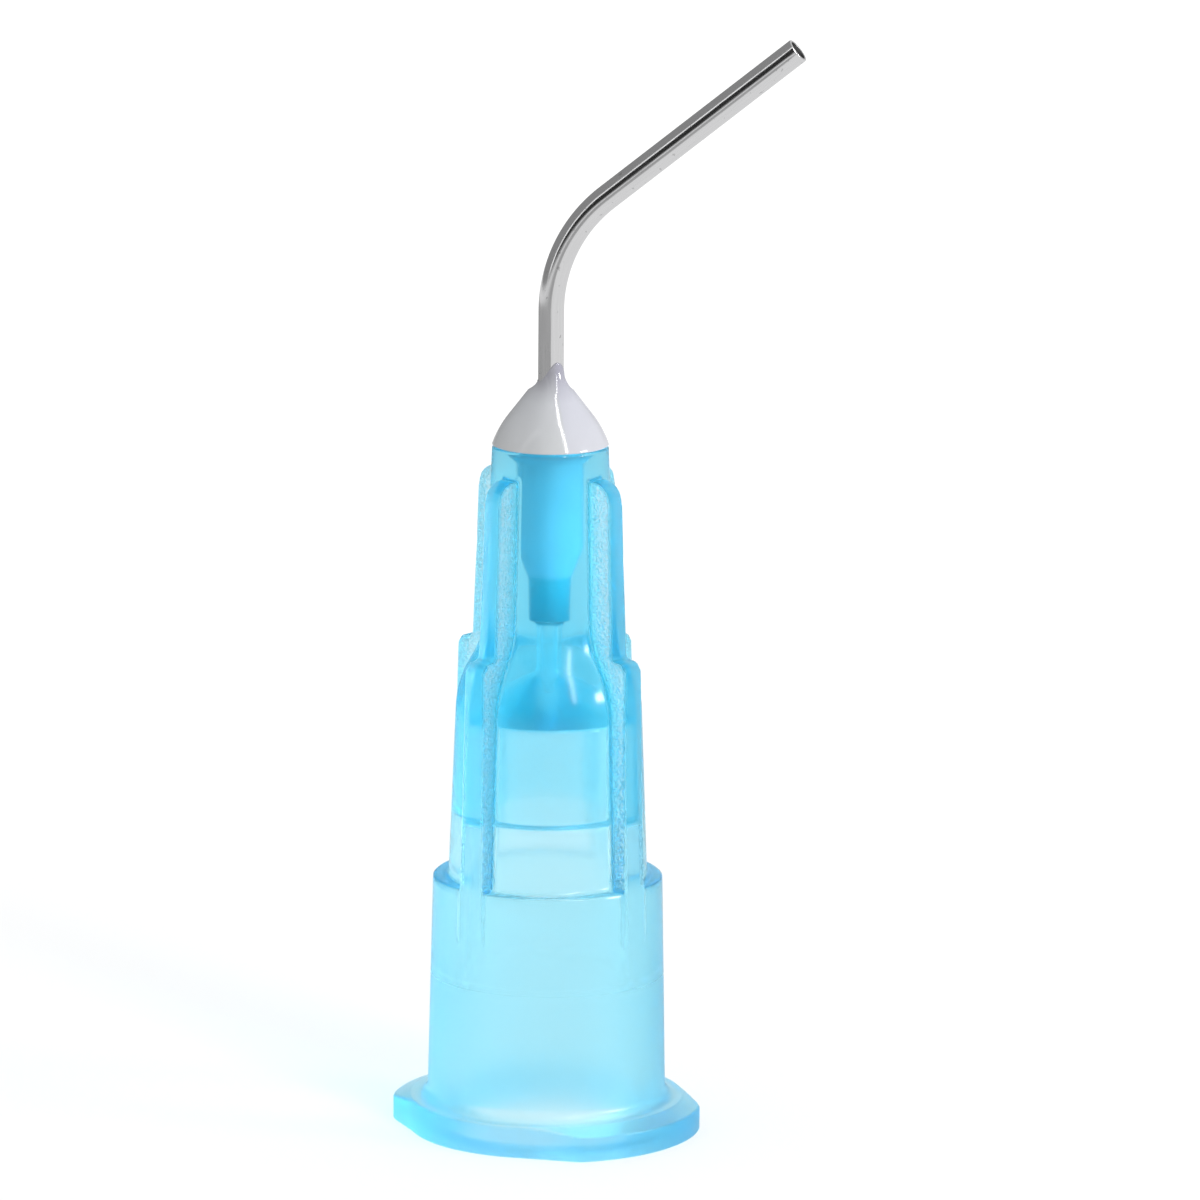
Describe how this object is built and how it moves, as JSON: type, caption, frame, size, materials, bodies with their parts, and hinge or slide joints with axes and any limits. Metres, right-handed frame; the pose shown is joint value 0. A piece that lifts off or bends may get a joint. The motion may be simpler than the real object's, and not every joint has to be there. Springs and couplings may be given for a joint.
{
  "type": "dispensing needle tip",
  "caption": "Translucent blue hub with a conical lock socket, fins and a collar of white adhesive, carrying a bent steel dispensing tube.",
  "frame": {"origin": "centre of the hub's open mouth, in the plane of its end face", "axes": "+Z along the hub's axis from the mouth towards the tube; the tube bends in the XZ plane towards +X"},
  "size_m": [0.0102, 0.0072, 0.0278],
  "materials": {
    "hub_plastic": "translucent light blue polypropylene, satin",
    "tube_steel": "polished drawn stainless steel",
    "adhesive": "glossy milky white cured adhesive"
  },
  "bodies": {
    "root": {"hub": "hub_plastic", "needle_tube": "tube_steel", "adhesive_bead": "adhesive"}
  },
  "joints": []
}
